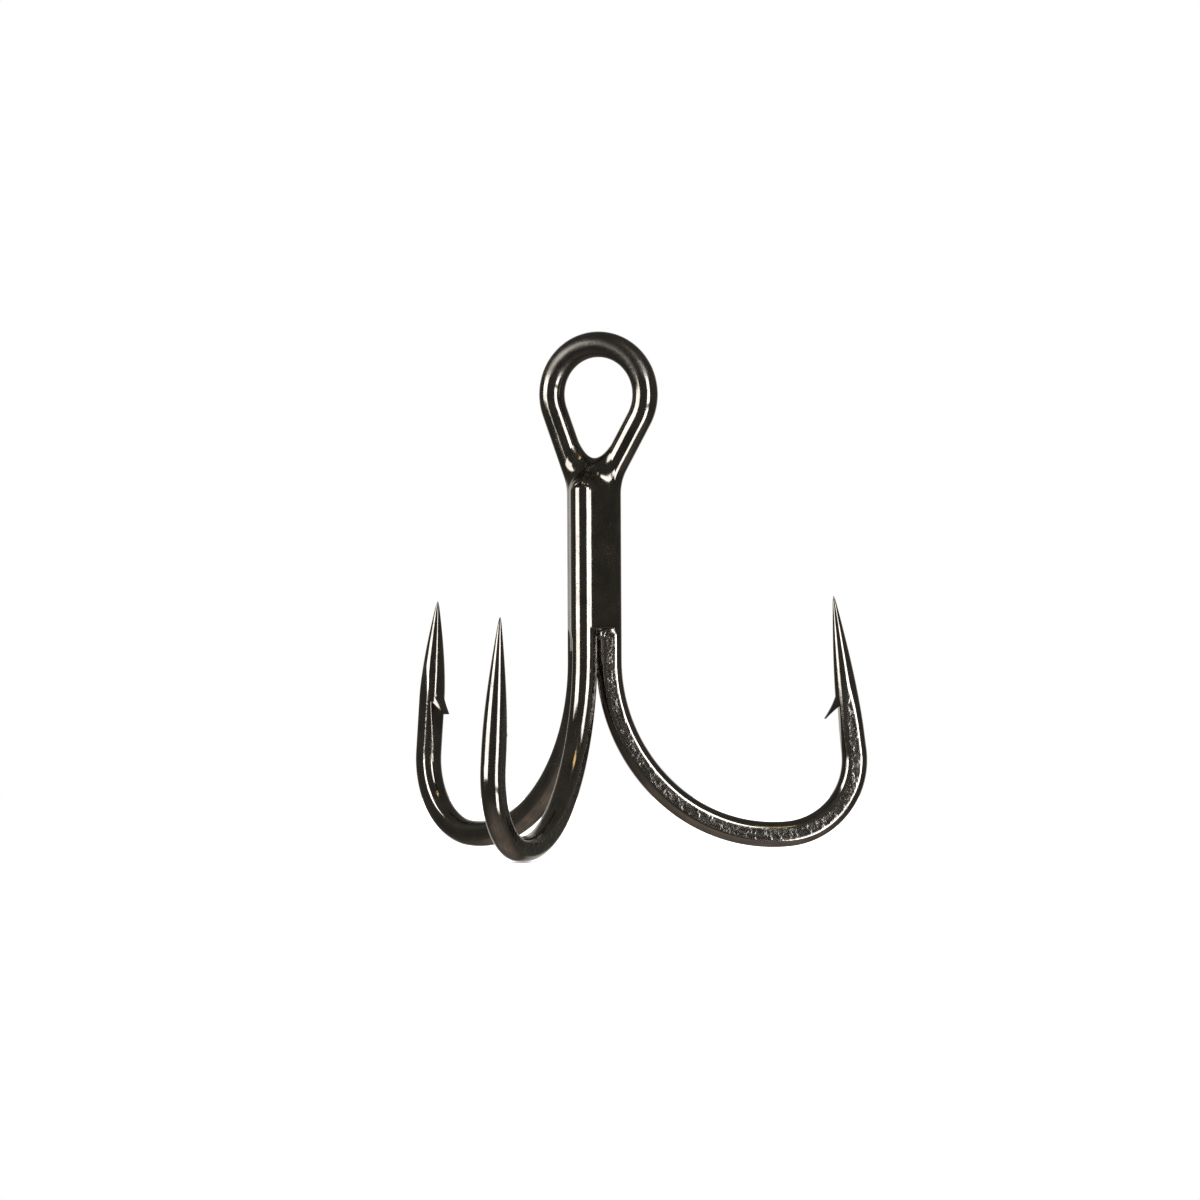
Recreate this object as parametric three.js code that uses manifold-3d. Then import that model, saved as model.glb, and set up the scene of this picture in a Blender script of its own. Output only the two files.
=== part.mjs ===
// A treble hook: one wire bent into two hooks and an eye, and a third hook brazed into the groove
// between their shanks.
//
// Millimetres. +Z runs up the shanks to the eye, the eye lies in a plane square to Y, and the third hook
// bends towards -Y. The origin is on the axis of the shanks, at the height of the balance point.
// Inside the file, heights are measured from the centre of the eye.

import * as THREE from "three";
import { mergeVertices } from "three/addons/utils/BufferGeometryUtils.js";
import Module from "manifold-3d";

const wasm = await Module();
wasm.setup();

const { degToRad } = THREE.MathUtils;

// ---------------------------------------------------------------- driving dimensions

const EYE_HEIGHT = 12.45; // the eye's centre above the origin

const WIRE_RADIUS = 0.6;
const BUNDLE_RADIUS = 0.825; // the axis of the shanks to the centre of each wire
const HOOK_TURN = degToRad(30); // how far each hook of the double wire is turned from the eye's plane

const EYE_RADIUS = 2.34; // to the centre of the wire
const EYE_OFFSET = 0.25; // the eye sits this far to one side of the shanks
const NECK_RADIUS = 2.85;
const NECK_BOTTOM = -4.67; // where the shanks start to part, below the eye

// Each hook's bend tightens towards its point. "top" is the height where it leaves the shank, "point" the
// straight length from the end of the bend to the tip, and "taper" the part of it that narrows. The three
// points were ground and cut one by one, so each barb sits a little up or down from the usual place:
// "barbShift" is how much further from the tip it is.
const RIGHT_BEND = {
  top: -12.45,
  arcs: [
    { radius: 8.42, sweep: degToRad(48.7) },
    { radius: 7.46, sweep: degToRad(46.5) },
    { radius: 3.45, sweep: degToRad(92.1) },
  ],
  point: 7.3,
  taper: 6.3,
  barbShift: 0.23,
};
const LEFT_BEND = {
  top: -12.45,
  arcs: [
    { radius: 8.42, sweep: degToRad(48.7) },
    { radius: 7.46, sweep: degToRad(46.5) },
    { radius: 3.45, sweep: degToRad(90.8) },
  ],
  point: 7.14,
  taper: 4.6,
  barbShift: -0.18,
};
const SINGLE_BEND = {
  top: -12,
  arcs: [
    { radius: 9.8, sweep: degToRad(48.2) },
    { radius: 6.95, sweep: degToRad(47) },
    { radius: 3.38, sweep: degToRad(92.7) },
  ],
  point: 7,
  taper: 6.3,
  barbShift: 0,
};
const TAPER_POWER = 1.7; // 1 is a plain cone; more makes the point fuller
const TIP_RADIUS = 0.03;
const TIP_SWELL = 0.045; // how much fuller than the taper the point is just behind its tip
const TIP_SWELL_RUN = 0.12; // the distance over which that swelling comes in

const FLAT_TOP = -10.9; // where the forged flats start on the shanks
const FLAT_RUN = 0.35; // the length over which a flat comes out of the round wire
const FLAT_HALF_THICKNESS = WIRE_RADIUS * Math.sin(degToRad(60));

const SINGLE_TOP = -4.1; // the upper end of the third hook's wire
const DOME_HEIGHT = 0.35; // of that end's rounding
const DOME_FLAT_RADIUS = 0.2; // of the flat left in the middle of it

// The barb, in a frame that runs back from the tip: "back" from the tip, "in" towards the shanks.
const BARB_ROOT_BACK = 4.25;
const BARB_ROOT_IN = 0.3;
const BARB_TIP_BACK = 5.4;
const BARB_TIP_IN = 1.18;
const BARB_HEEL_BACK = 4.82;
const BARB_ROOT_HALF_WIDTH = 0.45;
const BARB_TIP_HALF_WIDTH = 0.2;
const SCAR_START = 4.92; // the shallow cut that the barb was raised from
const SCAR_END = 7.2;
const SCAR_START_IN = 0.44;
const SCAR_END_IN = 0.61;

const BRAZE_GAP = 0.015; // between neighbouring solids
const BRAZE_TOP = -4.2;
const CORE_BOTTOM = -13.35;
const RIGHT_SEAM_BOTTOM = -10.8;
const LEFT_SEAM_BOTTOM = -12.2;
const REAR_SEAM_BOTTOM = -11.5;
const NECK_FILLER_TOP = -2.95;
const NECK_FILLER_HALF_DEPTH = 0.42;
const NECK_FILLER_DISH = 0.22; // how far its upper face sags between the wires

const SIDES = 24; // of the wire
const ARC_STEP = degToRad(8); // between the rings of a curve
const TAPER_STEPS = 12;
const DOME_STEPS = 4;

// ---------------------------------------------------------------- materials

const blackNickel = { color: 0x2b2926, roughness: 0.18, metalness: 1 };
const platedBraze = { color: 0x24221f, roughness: 0.3, metalness: 1 };

// ---------------------------------------------------------------- solids

function solidFrom(geometry) {
  geometry.deleteAttribute("normal");
  geometry.deleteAttribute("uv");
  const merged = mergeVertices(geometry);
  return new wasm.Manifold(
    new wasm.Mesh({
      numProp: 3,
      vertProperties: merged.getAttribute("position").array,
      triVerts: new Uint32Array(merged.getIndex().array),
    }),
  );
}

function meshFrom(solid, name, look) {
  const { vertProperties, triVerts } = solid.getMesh();
  const geometry = new THREE.BufferGeometry();
  geometry.setAttribute("position", new THREE.BufferAttribute(vertProperties, 3));
  geometry.setIndex(new THREE.BufferAttribute(triVerts, 1));
  geometry.computeVertexNormals();
  const mesh = new THREE.Mesh(geometry, new THREE.MeshStandardMaterial(look));
  mesh.name = name;
  return mesh;
}

// A polygon in x and y, given thickness along z from one height to another.
function prism(corners, bottom, top) {
  const shape = new THREE.Shape(corners);
  const geometry = new THREE.ExtrudeGeometry(shape, { depth: top - bottom, bevelEnabled: false });
  return geometry.translate(0, 0, bottom);
}

// ---------------------------------------------------------------- centrelines

// Walks a wire's centreline and leaves a station wherever the surface needs a ring. "side" is the normal
// of the plane the wire is bent in, and "left" is side x tangent. "roll" is how far that plane has turned
// about the wire since the start, so that the rings stay lined up with one another.
class Centreline {
  constructor(position, tangent, side) {
    this.position = position.clone();
    this.tangent = tangent.clone();
    this.side = side.clone();
    this.roll = 0;
    this.stations = [];
    this.leaveStation();
  }

  leaveStation() {
    this.stations.push({
      centre: this.position.clone(),
      tangent: this.tangent.clone(),
      side: this.side.clone(),
      roll: this.roll,
    });
  }

  straight(length, steps = 1) {
    for (let i = 0; i < steps; i++) {
      this.position.addScaledVector(this.tangent, length / steps);
      this.leaveStation();
    }
  }

  // A positive sweep turns to the left, a negative one to the right.
  arc(radius, sweep) {
    const steps = Math.ceil(Math.abs(sweep) / ARC_STEP);
    const half = sweep / steps / 2;
    const chord = 2 * radius * Math.sin(Math.abs(half));
    for (let i = 0; i < steps; i++) {
      this.tangent.applyAxisAngle(this.side, half);
      this.position.addScaledVector(this.tangent, chord);
      this.tangent.applyAxisAngle(this.side, half);
      this.leaveStation();
    }
  }

  turnPlane(angle) {
    this.side.applyAxisAngle(this.tangent, angle);
    this.roll += angle;
  }
}

function reversed(stations) {
  return stations.toReversed().map(({ centre, tangent, side, roll }) => ({
    centre,
    tangent: tangent.clone().negate(),
    side: side.clone().negate(),
    roll: -roll,
  }));
}

// Down a shank from the given height, through the start of the flats, and round the bend to the tip.
function addHook(line, shankTop, bend) {
  line.straight(shankTop - FLAT_TOP);
  line.straight(FLAT_RUN);
  line.straight(FLAT_TOP - FLAT_RUN - bend.top);
  for (const { radius, sweep } of bend.arcs) line.arc(radius, -sweep);
  line.straight(bend.point - bend.taper);
  line.straight(bend.taper, TAPER_STEPS);
  return line.stations;
}

// Half of the double wire, from the top of the eye down one leg to a tip. "way" is 1 on the +X side and -1
// on the other. The leg is the line that touches the eye's circle on one side and the neck's on the other.
function doubleHalf(way) {
  const planeY = BUNDLE_RADIUS * Math.sin(HOOK_TURN);
  const shankX = BUNDLE_RADIUS * Math.cos(HOOK_TURN);
  const across = shankX + NECK_RADIUS - way * EYE_OFFSET;
  const between = Math.hypot(across, NECK_BOTTOM);
  const leg = Math.sqrt(between ** 2 - (EYE_RADIUS + NECK_RADIUS) ** 2);
  const slant = Math.atan2(EYE_RADIUS + NECK_RADIUS, leg) - Math.atan2(across, -NECK_BOTTOM);

  const line = new Centreline(
    new THREE.Vector3(EYE_OFFSET, planeY, EYE_RADIUS),
    new THREE.Vector3(way, 0, 0),
    new THREE.Vector3(0, way, 0),
  );
  line.arc(EYE_RADIUS, Math.PI / 2 + slant);
  line.straight(leg);
  line.arc(NECK_RADIUS, -slant);
  line.turnPlane(-way * HOOK_TURN);
  return addHook(line, NECK_BOTTOM, way > 0 ? RIGHT_BEND : LEFT_BEND);
}

function singleLine() {
  const line = new Centreline(
    new THREE.Vector3(BUNDLE_RADIUS, 0, SINGLE_TOP),
    new THREE.Vector3(0, 0, -1),
    new THREE.Vector3(0, 1, 0),
  );
  line.straight(DOME_HEIGHT, DOME_STEPS);
  return addHook(line, SINGLE_TOP - DOME_HEIGHT, SINGLE_BEND);
}

// ---------------------------------------------------------------- wires

function distancesFrom(end, stations) {
  const along = [0];
  for (let i = 1; i < stations.length; i++) {
    along.push(along[i - 1] + stations[i].centre.distanceTo(stations[i - 1].centre));
  }
  return end === "start" ? along : along.map((distance) => along.at(-1) - distance);
}

function taperedRadius(fromTip, taper) {
  const left = Math.max(0, 1 - fromTip / taper);
  const swell = TIP_SWELL * (1 - Math.exp(-fromTip / TIP_SWELL_RUN)) * left ** 4;
  return Math.max(TIP_RADIUS, WIRE_RADIUS * (1 - left ** TAPER_POWER) + swell);
}

function domedRadius(fromTop) {
  const left = Math.max(0, 1 - fromTop / DOME_HEIGHT);
  return Math.max(DOME_FLAT_RADIUS, WIRE_RADIUS * Math.sqrt(1 - left ** 2));
}

// A cylinder carried along the stations: its rows of vertices become the rings of the wire. The flats cut
// off whatever stands further than the half thickness from the plane of the bend.
function sweepWire(stations, radiusAt, grow) {
  const rows = stations.length - 1;
  const geometry = new THREE.CylinderGeometry(1, 1, 1, SIDES, rows);
  const place = geometry.getAttribute("position");
  const point = new THREE.Vector3();
  const left = new THREE.Vector3();
  for (let i = 0; i < place.count; i++) {
    point.fromBufferAttribute(place, i);
    const row = Math.round((0.5 - point.y) * rows);
    const { centre, tangent, side, roll } = stations[row];
    const reach = Math.hypot(point.x, point.z) * (radiusAt(row) + grow);
    const angle = Math.atan2(point.z, point.x) - roll;
    const flat = flatAt(centre.z) + grow;
    const sideways = THREE.MathUtils.clamp(reach * Math.sin(angle), -flat, flat);
    left.crossVectors(side, tangent);
    point.copy(centre).addScaledVector(left, reach * Math.cos(angle)).addScaledVector(side, sideways);
    place.setXYZ(i, point.x, point.y, point.z);
  }
  return geometry;
}

function flatAt(height) {
  return height > FLAT_TOP - FLAT_RUN / 2 ? WIRE_RADIUS : FLAT_HALF_THICKNESS;
}

// ---------------------------------------------------------------- barbs

// Stands a shape drawn in the tip's own frame (x back from the tip, y in towards the shanks, z along the
// normal of the bend) at the end of a wire, moved back by "shift".
function atTip(geometry, tip, shift) {
  const back = tip.tangent.clone().negate();
  const inwards = new THREE.Vector3().crossVectors(tip.tangent, tip.side);
  const across = new THREE.Vector3().crossVectors(back, inwards);
  const origin = tip.centre.clone().addScaledVector(back, shift);
  return geometry.applyMatrix4(new THREE.Matrix4().makeBasis(back, inwards, across).setPosition(origin));
}

function addBarb(wire, tip, shift) {
  const scarProfile = [
    new THREE.Vector2(SCAR_START, SCAR_START_IN),
    new THREE.Vector2(SCAR_END, SCAR_END_IN),
    new THREE.Vector2(SCAR_END, 2 * WIRE_RADIUS),
    new THREE.Vector2(SCAR_START, 2 * WIRE_RADIUS),
  ];
  const bladeProfile = [
    new THREE.Vector2(BARB_ROOT_BACK, BARB_ROOT_IN),
    new THREE.Vector2(BARB_HEEL_BACK, BARB_ROOT_IN),
    new THREE.Vector2(BARB_TIP_BACK, BARB_TIP_IN),
  ];
  const bladePlan = [
    new THREE.Vector2(BARB_ROOT_BACK, -BARB_ROOT_HALF_WIDTH),
    new THREE.Vector2(BARB_TIP_BACK, -BARB_TIP_HALF_WIDTH),
    new THREE.Vector2(BARB_TIP_BACK, BARB_TIP_HALF_WIDTH),
    new THREE.Vector2(BARB_ROOT_BACK, BARB_ROOT_HALF_WIDTH),
  ];
  const scar = solidFrom(atTip(prism(scarProfile, -WIRE_RADIUS, WIRE_RADIUS), tip, shift));
  const side = solidFrom(atTip(prism(bladeProfile, -WIRE_RADIUS, WIRE_RADIUS), tip, shift));
  const plan = prism(bladePlan, -2 * WIRE_RADIUS, 0).rotateX(Math.PI / 2);
  return wire.subtract(scar).add(side.intersect(solidFrom(atTip(plan, tip, shift))));
}

// ---------------------------------------------------------------- the two wires

const doubleStations = [...reversed(doubleHalf(-1)), ...doubleHalf(1).slice(1)];
const doubleFromStart = distancesFrom("start", doubleStations);
const doubleFromEnd = distancesFrom("end", doubleStations);

function doubleWire(grow) {
  const radiusAt = (row) =>
    Math.min(
      taperedRadius(doubleFromStart[row], LEFT_BEND.taper),
      taperedRadius(doubleFromEnd[row], RIGHT_BEND.taper),
    );
  return solidFrom(sweepWire(doubleStations, radiusAt, grow));
}

const singleStations = singleLine();
const singleFromTop = distancesFrom("start", singleStations);
const singleFromTip = distancesFrom("end", singleStations);

function singleWire(grow) {
  const radiusAt = (row) =>
    Math.min(domedRadius(singleFromTop[row]), taperedRadius(singleFromTip[row], SINGLE_BEND.taper));
  return sweepWire(singleStations, radiusAt, grow);
}

function doubleHookWire() {
  const [startTip] = reversed([doubleStations[0]]);
  const rightDone = addBarb(doubleWire(0), doubleStations.at(-1), RIGHT_BEND.barbShift);
  const solid = addBarb(rightDone, startTip, LEFT_BEND.barbShift);
  return meshFrom(solid, "double_hook_wire", blackNickel);
}

function singleHookWire() {
  const solid = addBarb(solidFrom(singleWire(0)), singleStations.at(-1), SINGLE_BEND.barbShift);
  return meshFrom(solid, "single_hook_wire", blackNickel);
}

// ---------------------------------------------------------------- braze filler

const SINGLE_AZIMUTH = -Math.PI / 2;
const wireRoom = doubleWire(BRAZE_GAP).add(solidFrom(singleWire(BRAZE_GAP).rotateZ(SINGLE_AZIMUTH)));

// The line between two wire centres passes this far from the axis. It divides the core from the seams.
const CORE_REACH = BUNDLE_RADIUS / 2;
const HALF_PITCH = BUNDLE_RADIUS * Math.cos(HOOK_TURN);

// Filler in the space that the three wires enclose.
function brazeCore() {
  const corners = [0, 1, 2].map((i) => {
    const angle = SINGLE_AZIMUTH + (i * 2 * Math.PI) / 3;
    const reach = BUNDLE_RADIUS - 2 * BRAZE_GAP;
    return new THREE.Vector2(reach * Math.cos(angle), reach * Math.sin(angle));
  });
  const solid = solidFrom(prism(corners, CORE_BOTTOM, BRAZE_TOP)).subtract(wireRoom);
  return meshFrom(solid, "braze_core", platedBraze);
}

// Filler that brings one outer groove out level with the two wires beside it.
function brazeSeam(name, azimuth, bottom) {
  const inner = CORE_REACH + BRAZE_GAP;
  const outer = CORE_REACH + WIRE_RADIUS;
  const corners = [
    new THREE.Vector2(inner, -HALF_PITCH),
    new THREE.Vector2(outer, -HALF_PITCH),
    new THREE.Vector2(outer, HALF_PITCH),
    new THREE.Vector2(inner, HALF_PITCH),
  ];
  const solid = solidFrom(prism(corners, bottom, BRAZE_TOP).rotateZ(azimuth)).subtract(wireRoom);
  return meshFrom(solid, name, platedBraze);
}

// Filler in the V between the two legs of the eye, with a dished upper face.
function brazeNeck() {
  const bottom = BRAZE_TOP + BRAZE_GAP;
  const outline = new THREE.Shape();
  outline.moveTo(-HALF_PITCH, bottom);
  outline.lineTo(HALF_PITCH, bottom);
  outline.lineTo(HALF_PITCH, NECK_FILLER_TOP + NECK_FILLER_DISH);
  outline.quadraticCurveTo(
    EYE_OFFSET / 2,
    NECK_FILLER_TOP - NECK_FILLER_DISH,
    -HALF_PITCH,
    NECK_FILLER_TOP + NECK_FILLER_DISH,
  );
  const geometry = new THREE.ExtrudeGeometry(outline, {
    depth: 2 * NECK_FILLER_HALF_DEPTH,
    bevelEnabled: false,
    curveSegments: 10,
  });
  geometry.rotateX(Math.PI / 2);
  geometry.translate(0, CORE_REACH + NECK_FILLER_HALF_DEPTH, 0);
  return meshFrom(solidFrom(geometry).subtract(wireRoom), "braze_neck", platedBraze);
}

// ---------------------------------------------------------------- the hook

const single = new THREE.Group();
single.rotation.z = SINGLE_AZIMUTH;
single.add(singleHookWire());

const bundle = new THREE.Group();
bundle.position.z = EYE_HEIGHT;
bundle.add(
  doubleHookWire(),
  single,
  brazeCore(),
  brazeSeam("braze_seam_right", degToRad(-30), RIGHT_SEAM_BOTTOM),
  brazeSeam("braze_seam_left", degToRad(-150), LEFT_SEAM_BOTTOM),
  brazeSeam("braze_seam_rear", degToRad(90), REAR_SEAM_BOTTOM),
  brazeNeck(),
);

const trebleHook = new THREE.Group();
trebleHook.add(bundle);

export default trebleHook;
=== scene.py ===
"""The looks of a treble hook: black nickel over forged wire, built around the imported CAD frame.

Sizes are in millimetres and are turned into metres as each mesh is made. Inside the shapes, heights are
measured from the centre of the eye, as in the CAD source. Lights and studio turn with the camera, as they
do for an object on a turntable, so every side is seen in the same light.
"""

from math import atan2, cos, degrees, hypot, pi, radians, sin, sqrt

import bmesh
import bpy
import numpy as np
from mathutils import Matrix, Quaternion, Vector


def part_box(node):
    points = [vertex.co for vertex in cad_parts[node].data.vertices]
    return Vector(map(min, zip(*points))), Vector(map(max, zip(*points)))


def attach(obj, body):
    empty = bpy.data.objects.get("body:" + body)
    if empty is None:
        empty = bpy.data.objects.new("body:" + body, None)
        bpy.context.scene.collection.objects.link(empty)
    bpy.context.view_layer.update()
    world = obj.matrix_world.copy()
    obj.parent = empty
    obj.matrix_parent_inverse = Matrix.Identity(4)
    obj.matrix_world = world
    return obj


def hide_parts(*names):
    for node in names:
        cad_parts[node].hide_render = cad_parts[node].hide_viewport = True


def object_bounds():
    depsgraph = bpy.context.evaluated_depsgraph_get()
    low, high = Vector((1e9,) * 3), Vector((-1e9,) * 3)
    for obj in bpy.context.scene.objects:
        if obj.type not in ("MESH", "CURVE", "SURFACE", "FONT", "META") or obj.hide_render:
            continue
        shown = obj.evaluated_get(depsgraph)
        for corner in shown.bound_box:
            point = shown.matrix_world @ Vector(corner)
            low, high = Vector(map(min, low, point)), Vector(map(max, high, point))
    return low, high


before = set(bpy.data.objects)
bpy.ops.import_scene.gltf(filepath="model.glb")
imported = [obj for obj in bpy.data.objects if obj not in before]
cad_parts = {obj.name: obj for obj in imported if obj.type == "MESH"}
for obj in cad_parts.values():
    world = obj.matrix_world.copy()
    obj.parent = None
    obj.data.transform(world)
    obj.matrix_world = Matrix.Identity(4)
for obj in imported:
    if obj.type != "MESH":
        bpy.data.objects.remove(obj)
cad_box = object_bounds()

MM = 0.001

# ---------------------------------------------------------------- driving dimensions, as in the CAD frame

WIRE_RADIUS = 0.6
BUNDLE_RADIUS = 0.825  # the axis of the shanks to the centre of each wire
HOOK_TURN = radians(30)  # how far each hook of the double wire is turned from the eye's plane

EYE_RADIUS = 2.34
EYE_OFFSET = 0.25
NECK_RADIUS = 2.85
NECK_BOTTOM = -4.67

DOUBLE_BEND_TOP = -12.45
RIGHT_BEND = ((8.42, radians(48.7)), (7.46, radians(46.5)), (3.45, radians(92.1)))
RIGHT_POINT = 7.3
RIGHT_TAPER = 6.3
RIGHT_BARB_SHIFT = 0.23  # how much further from the tip than usual this hook's barb was cut
LEFT_BEND = ((8.42, radians(48.7)), (7.46, radians(46.5)), (3.45, radians(90.8)))
LEFT_POINT = 7.14
LEFT_TAPER = 4.6
LEFT_BARB_SHIFT = -0.18
SINGLE_TOP = -4.1
SINGLE_CAP = 0.45  # the filler rounds off over the wire's upper end from this far below its top
SINGLE_BEND_TOP = -12.0
SINGLE_BEND = ((9.8, radians(48.2)), (6.95, radians(47)), (3.38, radians(92.7)))
SINGLE_POINT = 7.0
SINGLE_TAPER = 6.3

TAPER_POWER = 1.7
TIP_RADIUS = 0.03
TIP_SWELL = 0.045  # what makes a point a little fuller just behind its tip
TIP_SWELL_RUN = 0.12
DOME_HEIGHT = 0.35  # of the single wire's upper end
DOME_POWER = 2.6
DOME_TOP_RADIUS = 0.05

FLAT_TOP = -10.9
FLAT_RUN = 0.35
FLAT_HALF_THICKNESS = WIRE_RADIUS * sin(radians(60))
FLAT_EDGE_ROUNDING = 0.035
FLAT_DEPTH = 0.03  # the wire is fully forged where this much or more was pressed away
FLAT_EDGE_WIDTH = 0.05
FLAT_EDGE_MIN_RADIUS = 0.45  # a point thinner than this has no rubbed edges

# A barb's places are given as the distance back from the tip and the distance in towards the shanks.
BARB_ROOT = (4.17, 0.27)
BARB_HEEL = (4.84, 0.3)
BARB_TIP = (5.4, 1.18)
BARB_ROOT_HALF_WIDTH = 0.34
BARB_TIP_HALF_WIDTH = 0.17
BARB_ROOT_CROWN = 0.14  # how far its upper face bulges across its width
BARB_TIP_CROWN = 0.03
BARB_HOLLOW = 0.065  # how far both faces curve towards the wire halfway along
BARB_EDGE = 0.03  # thickness left at its tip
BARB_RINGS = 16
BARB_COLUMNS = 12
SCAR_START = (4.9, 0.44)  # the cut that a barb was raised from, placed in the same way
SCAR_END = (7.2, 0.61)
SCAR_LIP = 0.05  # the length over which it starts, and the one over which it runs out
SCAR_RUN_OUT = 0.1
SCAR_SIDE = 0.2  # only the wire further in than this from its axis is cut
SCAR_ROUNDING = 0.03

WEB_BLEND = 1.33  # makes the filler flush with the wires on each side of a groove
NECK_BLEND = 2.08  # the same at the saddle between the legs of the eye
GROOVE_BLEND = 0.55  # below the webs, where only the bottom of each groove is filled
BRAZE_SINK = 0.027  # how far the filler's skin runs under the surface of a wire
LONE_WIRE_LIMIT = 0.82  # no filler is further than this part of the blend from its second wire
NECK_BLEND_START = -4.35
NECK_BLEND_END = -3.35
WEB_END_RUN = 0.25  # the length over which a web falls away into its groove
WEB_SIDE_RUN = 0.2  # how far each side of the middle the left and right webs run into each other
RIGHT_WEB_BOTTOM = -11.1
LEFT_WEB_BOTTOM = -12.2
REAR_WEB_BOTTOM = -11.5
BRAZE_END = -13.8  # deep in the grooves, where the last of the filler stops
BRAZE_BOTTOM = -13.9  # the filler's surface is looked for between these heights
BRAZE_TOP = -1.6
BRAZE_SIDES = (-1.75, 1.75)  # and between these, along the eye's plane and square to it
BRAZE_DEPTH = (-1.5, 1.2)
BRAZE_CELL = 0.05
BRAZE_BESIDE = 3.5  # no filler is as far as this from the axis of the shanks

SIDES = 64
ARC_STEP = radians(2)
STRAIGHT_STEP = 0.12
TIP_STEP = 0.04
DOME_STEP = 0.015
SHARP_ANGLE = radians(38)

eye_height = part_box("double_hook_wire")[1].z / MM - EYE_RADIUS - WIRE_RADIUS

# ---------------------------------------------------------------- the photograph's viewpoint

VIEW_AZIMUTH = radians(21.594)
VIEW_ELEVATION = radians(0.456)
VIEW_ROLL = radians(0.278)
VIEW_WIDTH = 56.08  # of the picture, at the object
VIEW_MARK = Vector((0, 0, 3.45))
VIEW_AIM = (0.414, -0.607)  # the middle of the picture, right and up from the mark
LENS = 600.0
SENSOR = 36.0


# ---------------------------------------------------------------- materials

SHADED_CROWN_START = 0.45  # the top of the eye turns rougher, and painted shade darkens its colour, between these heights above its centre
SHADED_CROWN_END = 1.25

# The dark and light tones that each plate clouds between, and the tones of what lies on it.
WIRE_TONES = ((0.125, 0.117, 0.108, 1), (0.185, 0.17, 0.152, 1))
SPECK_TONE = (0.07, 0.062, 0.055, 1)
RUBBED_TONE = (0.34, 0.32, 0.3, 1)
# painted shade: the darker colour laid over the top of the eye
CROWN_SHADE_TONE = (0.045, 0.042, 0.038, 1)
BRAZE_TONES = ((0.11, 0.103, 0.094, 1), (0.165, 0.15, 0.13, 1))
PIT_TONE = (0.06, 0.054, 0.048, 1)
FLOOR_TONES = ((0.9, 0.9, 0.895, 1), (0.93, 0.93, 0.925, 1))

MICROMETRE = 1e-6


class Graph:
    """Adds nodes to a tree. A value given to a node may be a number, a colour or another node's socket."""

    def __init__(self, tree):
        self.tree = tree
        tree.nodes.clear()

    def add(self, kind, inputs=(), **settings):
        node = self.tree.nodes.new("ShaderNode" + kind)
        for name, value in settings.items():
            setattr(node, name, value)
        for name, value in dict(inputs).items():
            if isinstance(value, bpy.types.NodeSocket):
                self.tree.links.new(value, node.inputs[name])
            else:
                node.inputs[name].default_value = value
        return node

    def math(self, operation, first, second=0.0):
        return self.add("Math", {0: first, 1: second}, operation=operation).outputs[0]

    def ramp(self, value, start, end, low=0.0, high=1.0):
        """Eases from low to high as the value goes from start to end."""
        inputs = {"Value": value, "From Min": start, "From Max": end, "To Min": low, "To Max": high}
        return self.add("MapRange", inputs, interpolation_type="SMOOTHSTEP").outputs["Result"]

    def noise(self, vector, scale, detail=2.0, roughness=0.5):
        inputs = {"Vector": vector, "Scale": scale, "Detail": detail, "Roughness": roughness}
        return self.add("TexNoise", inputs).outputs["Fac"]

    def mix(self, factor, first, second):
        node = self.add("Mix", data_type="RGBA")
        for name, value in (("Factor_Float", factor), ("A_Color", first), ("B_Color", second)):
            socket = next(s for s in node.inputs if s.identifier == name)
            if isinstance(value, bpy.types.NodeSocket):
                self.tree.links.new(value, socket)
            else:
                socket.default_value = value
        return next(s for s in node.outputs if s.identifier == "Result_Color")

    def scaled(self, vector, scale):
        return self.add("Mapping", {"Vector": vector, "Scale": scale}).outputs["Vector"]

    def bump(self, height, depth, normal=None):
        inputs = {"Height": height, "Distance": depth}
        if normal is not None:
            inputs["Normal"] = normal
        return self.add("Bump", inputs).outputs["Normal"]

    def finish_metal(self, tone, rough, normal):
        inputs = {"Base Color": tone, "Metallic": 1.0, "Roughness": rough, "Normal": normal}
        surface = self.add("BsdfPrincipled", inputs)
        self.add("OutputMaterial", {"Surface": surface.outputs[0]})


def new_material(name):
    material = bpy.data.materials.new(name)
    material.use_nodes = True
    return material, Graph(material.node_tree)


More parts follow.
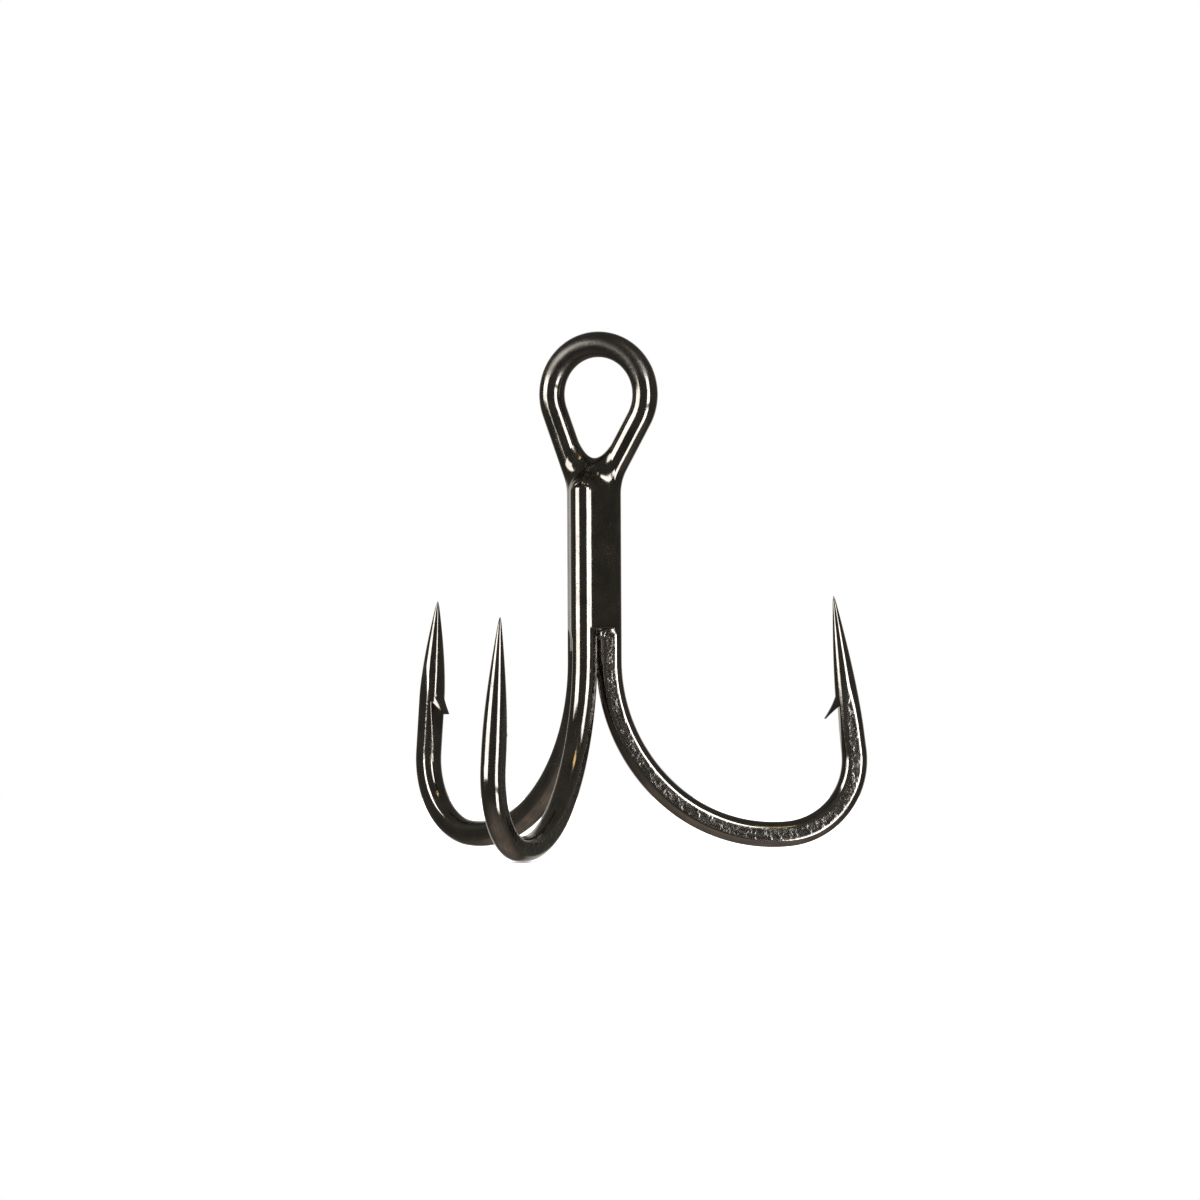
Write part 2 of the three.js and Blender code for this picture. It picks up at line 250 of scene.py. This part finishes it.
def plated_wire(name):
    """Bright black nickel over drawn wire: streaks along it, a mottled skin where it was forged flat.

    The crown of the eye is rougher and mottled, and painted shade darkens its colour.
    """
    material, graph = new_material(name)
    place = graph.add("TexCoord")
    along = place.outputs["UV"]  # millimetres round the wire and along it
    within = place.outputs["Object"]
    flat = graph.add("Attribute", attribute_name="forged").outputs["Fac"]
    edge = graph.add("Attribute", attribute_name="edge").outputs["Fac"]
    height = graph.add("SeparateXYZ", {0: within}).outputs["Z"]
    shaded_dull_crown = graph.ramp(height, (eye_height + SHADED_CROWN_START) * MM, (eye_height + SHADED_CROWN_END) * MM)

    cloud = graph.noise(within, 900.0, 4.0)
    streaks = graph.noise(graph.scaled(along, (7.0, 0.55, 1.0)), 1.0, 3.0, 0.6)
    dapple = graph.noise(within, 3600.0, 1.0)
    mottle = graph.ramp(graph.noise(within, 3600.0, 3.0, 0.55), 0.46, 0.72)
    specks = graph.ramp(graph.noise(within, 5200.0, 1.0), 0.68, 0.74)

    tone = graph.mix(graph.ramp(cloud, 0.3, 0.7), *WIRE_TONES)
    tone = graph.mix(graph.math("MULTIPLY", specks, 0.45), tone, SPECK_TONE)
    tone = graph.mix(graph.math("MULTIPLY", edge, 0.5), tone, RUBBED_TONE)
    # painted shade: the colour is darkened over the top of the eye
    tone = graph.mix(graph.math("MULTIPLY", shaded_dull_crown, 0.75), tone, CROWN_SHADE_TONE)

    rough = graph.ramp(streaks, 0.25, 0.75, 0.08, 0.15)
    rough = graph.math("ADD", rough, graph.math("MULTIPLY", shaded_dull_crown, 0.24))
    rough = graph.math("ADD", rough, graph.math("MULTIPLY", specks, 0.15))

    worked = graph.math("MAXIMUM", flat, shaded_dull_crown)
    normal = graph.bump(dapple, 2.2 * MICROMETRE)
    normal = graph.bump(streaks, 1.2 * MICROMETRE, normal)
    normal = graph.bump(graph.math("MULTIPLY", mottle, worked), 2.8 * MICROMETRE, normal)
    graph.finish_metal(tone, rough, normal)
    return material


def plated_braze(name):
    """The same plate over brazing filler, which froze smooth: ripples, fine scratches and a few pits."""
    material, graph = new_material(name)
    within = graph.add("TexCoord").outputs["Object"]

    cloud = graph.noise(within, 1100.0, 4.0)
    ripples = graph.noise(within, 2200.0, 3.0, 0.5)
    scratches = graph.noise(graph.scaled(within, (26000.0, 26000.0, 1500.0)), 1.0, 2.0, 0.6)
    pits = graph.ramp(graph.noise(within, 6500.0, 1.0), 0.7, 0.76)

    tone = graph.mix(graph.ramp(cloud, 0.3, 0.7), *BRAZE_TONES)
    tone = graph.mix(graph.math("MULTIPLY", pits, 0.5), tone, PIT_TONE)

    rough = graph.ramp(scratches, 0.3, 0.75, 0.11, 0.2)
    rough = graph.math("ADD", rough, graph.math("MULTIPLY", pits, 0.2))

    normal = graph.bump(ripples, 2.5 * MICROMETRE)
    normal = graph.bump(scratches, 0.5 * MICROMETRE, normal)
    graph.finish_metal(tone, rough, normal)
    return material


# ---------------------------------------------------------------- centrelines


class Centreline:
    """Walks a wire's centreline and leaves a station wherever the surface needs a ring.

    "side" is the normal of the plane the wire is bent in, and side x tangent points left. "roll" is how far
    that plane has turned about the wire since the start, which keeps the rings lined up.
    """

    def __init__(self, position, tangent, side):
        self.position = Vector(position)
        self.tangent = Vector(tangent)
        self.side = Vector(side)
        self.roll = 0.0
        self.stations = []
        self.leave_station()

    def leave_station(self):
        self.stations.append((self.position.copy(), self.tangent.copy(), self.side.copy(), self.roll))

    def straight(self, length, step=STRAIGHT_STEP):
        steps = max(1, round(length / step))
        for _ in range(steps):
            self.position += self.tangent * (length / steps)
            self.leave_station()

    def arc(self, radius, sweep):
        """A positive sweep turns to the left, a negative one to the right."""
        steps = max(1, round(abs(sweep) / ARC_STEP))
        half = Quaternion(self.side, sweep / steps / 2)
        chord = 2 * radius * sin(abs(sweep) / steps / 2)
        for _ in range(steps):
            self.tangent.rotate(half)
            self.position += self.tangent * chord
            self.tangent.rotate(half)
            self.leave_station()

    def turn_plane(self, angle):
        self.side.rotate(Quaternion(self.tangent, angle))
        self.roll += angle

    def hook(self, shank_top, bend_top, bend, point):
        self.straight(shank_top - bend_top)
        for radius, sweep in bend:
            self.arc(radius, -sweep)
        self.straight(point, TIP_STEP)


def reversed_stations(stations):
    return [(centre, -tangent, -side, -roll) for centre, tangent, side, roll in reversed(stations)]


def double_half(way):
    """Half of the double wire, from the top of the eye down one leg to a tip. way is 1 on the +X side."""
    plane_y = BUNDLE_RADIUS * sin(HOOK_TURN)
    across = BUNDLE_RADIUS * cos(HOOK_TURN) + NECK_RADIUS - way * EYE_OFFSET
    between = hypot(across, NECK_BOTTOM)
    leg = sqrt(between**2 - (EYE_RADIUS + NECK_RADIUS) ** 2)
    slant = atan2(EYE_RADIUS + NECK_RADIUS, leg) - atan2(across, -NECK_BOTTOM)

    line = Centreline((EYE_OFFSET, plane_y, EYE_RADIUS), (way, 0, 0), (0, way, 0))
    line.arc(EYE_RADIUS, pi / 2 + slant)
    line.straight(leg)
    line.arc(NECK_RADIUS, -slant)
    line.turn_plane(-way * HOOK_TURN)
    bend, point = (RIGHT_BEND, RIGHT_POINT) if way > 0 else (LEFT_BEND, LEFT_POINT)
    line.hook(NECK_BOTTOM, DOUBLE_BEND_TOP, bend, point)
    return line.stations


def single_line():
    line = Centreline((0, -BUNDLE_RADIUS, SINGLE_TOP), (0, 0, -1), (1, 0, 0))
    line.straight(DOME_HEIGHT, DOME_STEP)
    line.hook(SINGLE_TOP - DOME_HEIGHT, SINGLE_BEND_TOP, SINGLE_BEND, SINGLE_POINT)
    return line.stations


# ---------------------------------------------------------------- wires


def eased(value, start, end):
    t = np.clip((value - start) / (end - start), 0, 1)
    return t * t * (3 - 2 * t)


def soft_limit(value, limit, rounding):
    """Holds a value under a limit, with the corner between the two rounded off."""
    lap = np.clip(0.5 + 0.5 * (limit - value) / rounding, 0, 1)
    return limit + (value - limit) * lap - rounding * lap * (1 - lap)


def tapered(from_tip, taper):
    """The radius of a point that reaches the full wire at the length of its taper."""
    left = np.clip(1 - from_tip / taper, 0, 1)
    swell = TIP_SWELL * (1 - np.exp(-from_tip / TIP_SWELL_RUN)) * left**4
    inside_tip = np.clip(from_tip / TIP_RADIUS, 0, 1)
    rounded = np.sqrt(inside_tip * (2 - inside_tip))
    return np.maximum(TIP_RADIUS * rounded, WIRE_RADIUS * (1 - left**TAPER_POWER) + swell)


def domed(from_top):
    """The radius of the single wire's rounded upper end."""
    left = np.clip(1 - from_top / DOME_HEIGHT, 0, 1)
    return np.maximum(DOME_TOP_RADIUS, WIRE_RADIUS * np.sqrt(1 - left**DOME_POWER))


def flat_limit(height):
    """Half the thickness between the forged flats, which start part of the way down the shanks."""
    return WIRE_RADIUS + (FLAT_HALF_THICKNESS - WIRE_RADIUS) * eased(-height, -FLAT_TOP, FLAT_RUN - FLAT_TOP)


def sweep(stations, radius_at, tips):
    """The rings of a wire, and how forged and how sharp its surface is at each point.

    radius_at takes the distances from the start and from the end. tips holds the ends, 0 and -1, that are
    points, each with the shift of its barb: the cut that a barb was raised from goes into the inner side.
    """
    centre, tangent, side = (np.array([s[i] for s in stations]) for i in range(3))
    roll = np.array([s[3] for s in stations])
    step = np.linalg.norm(np.diff(centre, axis=0), axis=1)
    from_start = np.concatenate([[0], np.cumsum(step)])
    from_end = from_start[-1] - from_start
    radius = radius_at(from_start, from_end)

    turn = np.linspace(0, 2 * pi, SIDES, endpoint=False) - roll[:, None]
    left = radius[:, None] * np.cos(turn)
    sideways = radius[:, None] * np.sin(turn)

    limit = flat_limit(centre[:, 2])[:, None]
    rounding = FLAT_EDGE_ROUNDING * np.minimum(1, radius[:, None] / WIRE_RADIUS) + 1e-6
    held = np.where(limit < WIRE_RADIUS, soft_limit(np.abs(sideways), limit, rounding), np.abs(sideways))
    forged = eased(np.abs(sideways) - held, 0.0, FLAT_DEPTH)
    fully_flat = limit < FLAT_HALF_THICKNESS + 0.01
    edge = np.exp(-(((np.abs(sideways) - limit) / FLAT_EDGE_WIDTH) ** 2)) * fully_flat
    sideways = np.sign(sideways) * held

    for tip, shift in tips.items():
        back = (from_start if tip == 0 else from_end)[:, None] - shift
        start, end = SCAR_START[0], SCAR_END[0]
        depth = np.interp(back, (start, end), (SCAR_START[1], SCAR_END[1]))
        depth = depth + eased(-back, -start, SCAR_LIP - start) + eased(back, end, end + SCAR_RUN_OUT)
        left = -np.where(left < -SCAR_SIDE, soft_limit(-left, depth, SCAR_ROUNDING), -left)

    towards = np.cross(side, tangent)
    rings = centre[:, None] + left[..., None] * towards[:, None] + sideways[..., None] * side[:, None]
    return rings, from_start, forged, edge * (radius[:, None] > FLAT_EDGE_MIN_RADIUS)


def wire_mesh(name, stations, radius_at, tips):
    rings, from_start, forged, edge = sweep(stations, radius_at, tips)
    count = len(rings)
    index = np.arange(count * SIDES).reshape(count, SIDES)
    ahead = np.roll(index, -1, axis=1)
    quads = np.stack([index[:-1], index[1:], ahead[1:], ahead[:-1]], axis=-1).reshape(-1, 4)
    caps = [index[0].tolist(), index[-1, ::-1].tolist()]
    mesh = bpy.data.meshes.new(name)
    place = rings.reshape(-1, 3) + (0, 0, eye_height)
    mesh.from_pydata((place * MM).tolist(), [], quads.tolist() + caps)

    for attribute, values in (("forged", forged), ("edge", edge)):
        layer = mesh.attributes.new(attribute, "FLOAT", "POINT")
        layer.data.foreach_set("value", values.astype(np.float32).ravel())
    layer = mesh.uv_layers.new(name="wire")
    girth = 2 * pi * WIRE_RADIUS
    row = np.repeat(np.arange(count - 1), SIDES)
    column = np.tile(np.arange(SIDES), count - 1)
    corner = np.stack(
        [
            np.stack([column, column, column + 1, column + 1], axis=-1) * girth / SIDES,
            from_start[np.stack([row, row + 1, row + 1, row], axis=-1)],
        ],
        axis=-1,
    ).reshape(-1, 2)
    ends = np.zeros((2 * SIDES, 2))
    layer.data.foreach_set("uv", np.concatenate([corner, ends]).astype(np.float32).ravel())
    return mesh


def barb_mesh(tip, shift):
    """A tongue of the wire, lifted: round on top like the wire it came from, flat below, thin at its tip."""
    centre, tangent, side, _ = tip
    centre = centre - tangent * shift
    inwards = tangent.cross(side)
    root, heel, peak = (Vector(p) for p in (BARB_ROOT, BARB_HEEL, BARB_TIP))
    above_to_wire, below_to_wire, thicker = Vector((0.5, -0.86)), Vector((0.86, 0.5)), Vector((0.7, -1))
    rings = []
    for i in range(BARB_RINGS + 1):
        t = i / BARB_RINGS
        hollow = BARB_HOLLOW * sin(pi * t)
        upper = root.lerp(peak, t) + above_to_wire * hollow
        lower = heel.lerp(peak, t) - below_to_wire * hollow + thicker * BARB_EDGE * t
        width = BARB_ROOT_HALF_WIDTH + (BARB_TIP_HALF_WIDTH - BARB_ROOT_HALF_WIDTH) * t
        crown = BARB_ROOT_CROWN + (BARB_TIP_CROWN - BARB_ROOT_CROWN) * t
        spread = [-1 + 2 * j / BARB_COLUMNS for j in range(BARB_COLUMNS + 1)]
        above = [(upper.x, upper.y + crown * (1 - u * u), u * width) for u in spread]
        below = [(lower.x, lower.y, u * width) for u in reversed(spread)]
        rings.append(above + below)
    count = len(rings[0])
    index = np.arange(len(rings) * count).reshape(len(rings), count)
    ahead = np.roll(index, -1, axis=1)
    quads = np.stack([index[:-1], ahead[:-1], ahead[1:], index[1:]], axis=-1).reshape(-1, 4)
    faces = quads.tolist() + [index[0, ::-1].tolist(), index[-1].tolist()]
    places = [
        (centre - tangent * b + inwards * i + side * a + Vector((0, 0, eye_height))) * MM
        for ring in rings
        for b, i, a in ring
    ]
    mesh = bpy.data.meshes.new("barb")
    mesh.from_pydata([tuple(p) for p in places], [], faces)
    tidy = bmesh.new()
    tidy.from_mesh(mesh)
    bmesh.ops.recalc_face_normals(tidy, faces=tidy.faces)
    tidy.to_mesh(mesh)
    tidy.free()
    return mesh


def add_object(name, mesh):
    piece = bpy.data.objects.new(name, mesh)
    bpy.context.scene.collection.objects.link(piece)
    return piece


def join_by_boolean(piece, mesh):
    """Makes another closed mesh part of this piece, as one skin."""
    tool = add_object("tool", mesh)
    modifier = piece.modifiers.new("join", "BOOLEAN")
    modifier.operation = "UNION"
    modifier.solver = "EXACT"
    modifier.object = tool
    depsgraph = bpy.context.evaluated_depsgraph_get()
    joined = bpy.data.meshes.new_from_object(piece.evaluated_get(depsgraph))
    piece.modifiers.clear()
    piece.data = joined
    bpy.data.objects.remove(tool)


def finish_piece(piece, material, slot, *nodes):
    piece.data.materials.clear()
    piece.data.materials.append(material)
    piece.data.shade_smooth()
    piece.data.set_sharp_from_angle(angle=SHARP_ANGLE)
    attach(piece, "root")
    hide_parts(*nodes)


# ---------------------------------------------------------------- braze filler


def line_distance(points, centres):
    """Distance from each point to a polyline."""
    nearest = np.full(len(points), np.inf)
    for start, end in zip(centres[:-1], centres[1:]):
        run = end - start
        t = np.clip((points - start) @ run / (run @ run), 0, 1)
        gap = points - start - t[:, None] * run
        nearest = np.minimum(nearest, np.einsum("ij,ij->i", gap, gap))
    return np.sqrt(nearest)


def wire_field(points, stations):
    """Distance outside a wire's surface, flats included. Only the part beside the braze is looked at."""
    level = [s for s in stations if BRAZE_BOTTOM - 1 < s[0].z < BRAZE_TOP + 1]
    beside = [s for s in level if s[0].xy.length < BRAZE_BESIDE]
    turns = [b for a, b, c in zip(beside, beside[1:], beside[2:]) if a[1].angle(c[1]) > 1e-3]
    centres = np.array([s[0] for s in (beside[0], *turns, beside[-1])])
    around = line_distance(points, centres) - WIRE_RADIUS
    lowest = min(beside, key=lambda s: s[0].z)
    side = np.array(lowest[2])
    flat = np.abs((points - np.array(lowest[0])) @ side) - flat_limit(points[:, 2])
    return np.where(points[:, 2] < FLAT_TOP, np.maximum(around, flat), around)


def blended(first, second, reach):
    """The lower of two fields, with the groove where they cross filled in."""
    lap = np.clip(1 - np.abs(first - second) / reach, 0, 1)
    return np.minimum(first, second) - lap**2 * reach / 4


def web_blend(height, bottom):
    return GROOVE_BLEND + (WEB_BLEND - GROOVE_BLEND) * eased(height, bottom, bottom + WEB_END_RUN)


def braze_field(points, right, left, single):
    """Negative inside the filler between the three wires."""
    x, y, z = points.T
    fields = [wire_field(points, wire) for wire in (right, left, single)]
    neck = (NECK_BLEND - WEB_BLEND) * eased(z, NECK_BLEND_START, NECK_BLEND_END)
    rear = web_blend(z, REAR_WEB_BOTTOM) + neck
    leftness = eased(-x, -WEB_SIDE_RUN, WEB_SIDE_RUN)
    front = web_blend(z, RIGHT_WEB_BOTTOM) * (1 - leftness) + web_blend(z, LEFT_WEB_BOTTOM) * leftness
    filled = blended(blended(fields[0], fields[1], rear), fields[2], front) + BRAZE_SINK
    alone = np.sort(fields, axis=0)[1] - LONE_WIRE_LIMIT * np.maximum(rear, WEB_BLEND)
    behind = y - BUNDLE_RADIUS * sin(HOOK_TURN) - WIRE_RADIUS
    return np.max([filled, alone, behind, BRAZE_END - z], axis=0)


def surface_net(values, origin, cell):
    """The zero surface of a sampled field: a vertex in each crossed cell, a quad for each crossed edge."""
    inside = values < 0
    shape = np.array(values.shape) - 1
    total = np.zeros((*shape, 3))
    crossings = np.zeros(shape)
    offsets = [(0, 0), (0, 1), (1, 0), (1, 1)]
    for axis in range(3):
        others = [a for a in range(3) if a != axis]
        for first, second in offsets:
            start = np.zeros(3, int)
            start[others] = first, second
            stop = start.copy()
            stop[axis] = 1
            a = values[tuple(slice(s, s + n) for s, n in zip(start, shape))]
            b = values[tuple(slice(s, s + n) for s, n in zip(stop, shape))]
            crossed = (a < 0) != (b < 0)
            t = np.where(crossed, a / np.where(crossed, a - b, 1), 0)
            total[..., axis] += t * crossed
            for other in others:
                total[..., other] += start[other] * crossed
            crossings += crossed
    used = crossings > 0
    index = np.full(shape, -1)
    index[used] = np.arange(used.sum())
    places = np.argwhere(used) + total[used] / crossings[used][:, None]

    quads = []
    for axis in range(3):
        u, v = (axis + 1) % 3, (axis + 2) % 3
        low = [slice(1, -1)] * 3
        low[axis] = slice(0, -1)
        high = list(low)
        high[axis] = slice(1, None)
        a, b = inside[tuple(low)], inside[tuple(high)]
        for starts in (True, False):
            at = np.argwhere((a == starts) & (b != starts))
            at[:, [u, v]] += 1
            corners = []
            for du, dv in ((-1, -1), (0, -1), (0, 0), (-1, 0)):
                spot = at.copy()
                spot[:, u] += du
                spot[:, v] += dv
                corners.append(index[tuple(spot.T)])
            face = np.stack(corners if starts else corners[::-1], axis=-1)
            quads.append(face)
    return origin + places * cell, np.concatenate(quads)


def braze_mesh(right, left, single):
    def field(places):
        return braze_field(places, right, left, single)

    low, high = np.array([BRAZE_SIDES, BRAZE_DEPTH, (BRAZE_BOTTOM, BRAZE_TOP)]).T
    counts = np.ceil((high - low) / BRAZE_CELL).astype(int) + 1
    grid = np.stack(np.meshgrid(*(np.arange(n) for n in counts), indexing="ij"), axis=-1)
    points = low + grid.reshape(-1, 3) * BRAZE_CELL
    places, quads = surface_net(field(points).reshape(tuple(counts)), low, BRAZE_CELL)
    nudge = 1e-4
    for _ in range(2):  # each round moves the vertices closer to the true surface
        value = field(places)
        rises = [field(places + n) - field(places - n) for n in np.eye(3) * nudge]
        slope = np.stack(rises, axis=-1) / (2 * nudge)
        step = value / np.maximum(np.einsum("ij,ij->i", slope, slope), 0.2)
        places = places - np.clip(step, -BRAZE_CELL, BRAZE_CELL)[:, None] * slope
    mesh = bpy.data.meshes.new("braze")
    mesh.from_pydata(((places + (0, 0, eye_height)) * MM).tolist(), [], quads.tolist())
    return mesh


# ---------------------------------------------------------------- the hook

wire_finish = plated_wire("black_nickel_wire")
braze_finish = plated_braze("black_nickel_braze")

right_half = double_half(1)
left_half = double_half(-1)
single_stations = single_line()
double_stations = reversed_stations(left_half) + right_half[1:]


def double_radius(from_left, from_right):
    return np.minimum(tapered(from_left, LEFT_TAPER), tapered(from_right, RIGHT_TAPER))


def single_radius(from_top, from_tip):
    return np.minimum(domed(from_top), tapered(from_tip, SINGLE_TAPER))


double_tips = {0: LEFT_BARB_SHIFT, -1: RIGHT_BARB_SHIFT}
double = add_object("double_hook", wire_mesh("double_hook", double_stations, double_radius, double_tips))
join_by_boolean(double, barb_mesh(right_half[-1], RIGHT_BARB_SHIFT))
join_by_boolean(double, barb_mesh(left_half[-1], LEFT_BARB_SHIFT))
finish_piece(double, wire_finish, "double_hook_wire", "double_hook_wire")

single = add_object("single_hook", wire_mesh("single_hook", single_stations, single_radius, {-1: 0.0}))
join_by_boolean(single, barb_mesh(single_stations[-1], 0.0))
finish_piece(single, wire_finish, "single_hook_wire", "single_hook_wire")

below_cap = [s for s in single_stations if s[0].z < SINGLE_TOP - SINGLE_CAP]
braze = add_object("braze", braze_mesh(right_half, left_half, below_cap))
finish_piece(
    braze,
    braze_finish,
    "braze_seams",
    "braze_core",
    "braze_seam_right",
    "braze_seam_left",
    "braze_seam_rear",
    "braze_neck",
)

# ---------------------------------------------------------------- studio


def add_floor():
    """A plain pale floor that the three bends stand on."""
    reach, gap, sides = 160 * MM, 0.02 * MM, 96
    height = cad_box[0].z - gap
    mesh = bpy.data.meshes.new("floor")
    rim = [(reach * cos(a), reach * sin(a), height) for a in np.linspace(0, 2 * pi, sides, endpoint=False)]
    mesh.from_pydata(rim, [], [list(range(sides))])
    floor = add_object("floor", mesh)
    material, graph = new_material("pale_floor")
    grain = graph.noise(graph.add("TexCoord").outputs["Object"], 400.0, 3.0)
    tone = graph.mix(grain, *FLOOR_TONES)
    surface = graph.add("BsdfDiffuse", {"Color": tone})
    graph.add("OutputMaterial", {"Surface": surface.outputs[0]})
    mesh.materials.append(material)
    floor.visible_glossy = False


def light_window(graph, azimuth, height, window):
    """One at the middle of a window of light, easing to nothing over its soft edges. Angles in degrees."""
    left, right, bottom, top, soft = window
    across = graph.math(
        "MULTIPLY",
        graph.ramp(azimuth, left - soft, left + soft),
        graph.ramp(azimuth, right - soft, right + soft, 1.0, 0.0),
    )
    up = graph.math(
        "MULTIPLY",
        graph.ramp(height, bottom - soft, bottom + soft),
        graph.ramp(height, top - soft, top + soft, 1.0, 0.0),
    )
    return graph.math("MULTIPLY", across, up)


# Each window of light: its sides, bottom, top and the softness of its edge in degrees, then its strength and
# its colour. Azimuth 0 is at the camera, and a positive one is to the camera's right.
WINDOWS = (
    ((-84, -48, -2.5, 27, 1.5), 8.5, (1.0, 0.985, 0.965, 1)),
    ((22, 44, -11, 37, 1.5), 9.5, (0.99, 0.99, 1.0, 1)),
    ((22, 44, -38, -17, 1.5), 9.5, (0.99, 0.99, 1.0, 1)),
    ((8, 36, 53.5, 60, 1.5), 5.0, (1.0, 0.74, 0.32, 1)),
)
BACKDROP = (146, 190, -25, 26, 8)  # a pale wall, as a window of light; it is the same on both sides
BACKDROP_TONE = (0.78, 0.74, 0.68, 1)
TABLE_FADE = (-70, -22)  # the object mirrors the table below the first height and the room above the second
TABLE_TONE = (0.62, 0.53, 0.45, 1)
ROOM_TONE = (0.115, 0.11, 0.095, 1)
AMBIENT = (2.3, 2.3, 2.3, 1)  # what lights the floor
WHITE = (1, 1, 1, 1)  # what the camera sees past it


def add_studio():
    world = bpy.data.worlds.new("studio")
    bpy.context.scene.world = world
    world.use_nodes = True
    graph = Graph(world.node_tree)
    direction = graph.add("TexCoord").outputs["Camera"]
    x, y, z = graph.add("SeparateXYZ", {0: direction}).outputs
    behind = graph.math("MULTIPLY", z, -1.0)
    azimuth = graph.math("MULTIPLY", graph.math("ARCTAN2", x, behind), degrees(1))
    height = graph.math("MULTIPLY", graph.math("ARCSINE", y), degrees(1))

    turned = graph.math("ABSOLUTE", azimuth)
    backdrop = light_window(graph, turned, height, BACKDROP)
    colour = graph.mix(backdrop, ROOM_TONE, BACKDROP_TONE)
    patches = graph.ramp(graph.noise(direction, 5.0, 3.0), 0.3, 0.7, 0.55, 1.0)
    table = graph.math("MULTIPLY", graph.ramp(height, *TABLE_FADE, 1.0, 0.0), patches)
    colour = graph.mix(table, colour, TABLE_TONE)
    for window, strength, tint in WINDOWS:
        lit = tuple(strength * c for c in tint[:3]) + (1,)
        colour = graph.mix(light_window(graph, azimuth, height, window), colour, lit)
    path = graph.add("LightPath")
    ambient = graph.mix(path.outputs["Is Camera Ray"], AMBIENT, WHITE)
    seen = graph.mix(path.outputs["Is Glossy Ray"], ambient, colour)
    background = graph.add("Background", {"Color": seen, "Strength": 1.0})
    graph.add("OutputWorld", {"Surface": background.outputs[0]})


def add_camera():
    back = Vector(
        (
            sin(VIEW_AZIMUTH) * cos(VIEW_ELEVATION),
            -cos(VIEW_AZIMUTH) * cos(VIEW_ELEVATION),
            sin(VIEW_ELEVATION),
        )
    )
    level = Vector((cos(VIEW_AZIMUTH), sin(VIEW_AZIMUTH), 0))
    rise = back.cross(level)
    up = rise * cos(VIEW_ROLL) + level * sin(VIEW_ROLL)
    right = level * cos(VIEW_ROLL) - rise * sin(VIEW_ROLL)
    target = VIEW_MARK + right * VIEW_AIM[0] + up * VIEW_AIM[1]
    data = bpy.data.cameras.new("camera")
    data.sensor_width = SENSOR
    data.lens = LENS
    data.clip_start = 0.05
    data.clip_end = 10
    camera = bpy.data.objects.new("camera", data)
    bpy.context.scene.collection.objects.link(camera)
    turned = Matrix((right, up, back)).transposed().to_4x4()
    turned.translation = (target + back * (VIEW_WIDTH / SENSOR * LENS)) * MM
    camera.matrix_world = turned
    bpy.context.scene.camera = camera


add_floor()
add_studio()
add_camera()
bpy.context.scene.view_settings.view_transform = "Standard"
